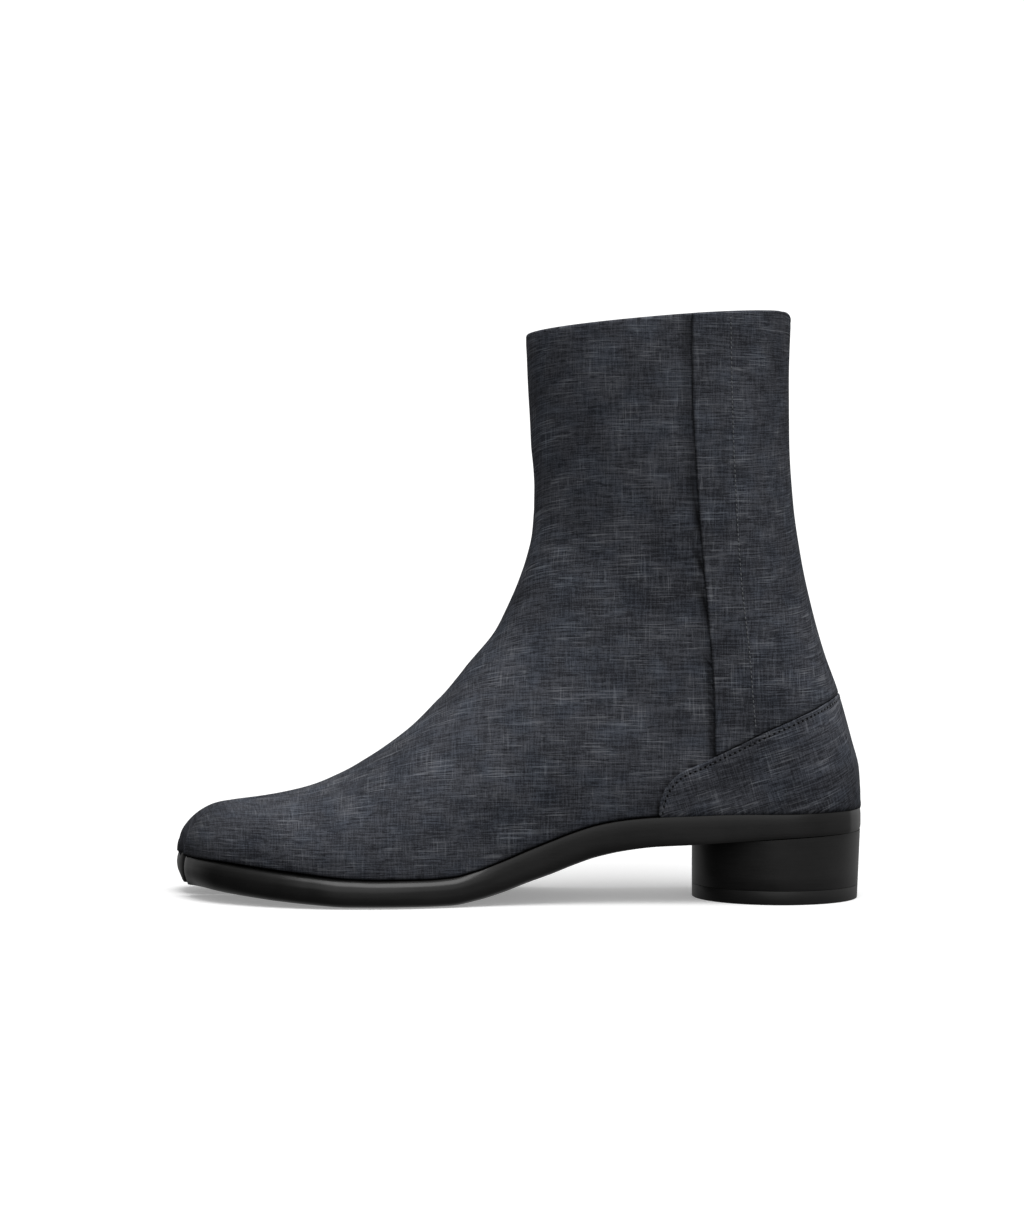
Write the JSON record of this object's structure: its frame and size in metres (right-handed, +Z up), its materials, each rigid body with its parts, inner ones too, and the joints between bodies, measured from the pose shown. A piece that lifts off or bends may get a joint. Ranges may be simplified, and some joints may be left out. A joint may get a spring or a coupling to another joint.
{
  "type": "split-toe ankle boot",
  "caption": "Split-toe jika tabi ankle boot in dark woven cloth, with a hollow shaft, heel counter, black leather sole and round stacked heel.",
  "frame": {"origin": "middle of the heel's tread, on the floor", "axes": "-X to the toe, -Y to the outer side of the foot, +Z up"},
  "size_m": [0.2931, 0.0965, 0.2474],
  "materials": {
    "upper_cloth": "matte slubbed weave",
    "panel_cloth": "matte slubbed weave",
    "counter_cloth": "matte slubbed weave",
    "insole_leather": "matte lining",
    "sole_leather": "satin edge",
    "heel_leather": "satin edge",
    "top_piece_rubber": "satin"
  },
  "bodies": {
    "root": {"upper": "upper_cloth", "rear_panel": "panel_cloth", "heel_counter": "counter_cloth", "insole": "insole_leather", "outsole": "sole_leather", "heel": "heel_leather", "heel_top_piece": "top_piece_rubber"}
  },
  "joints": []
}
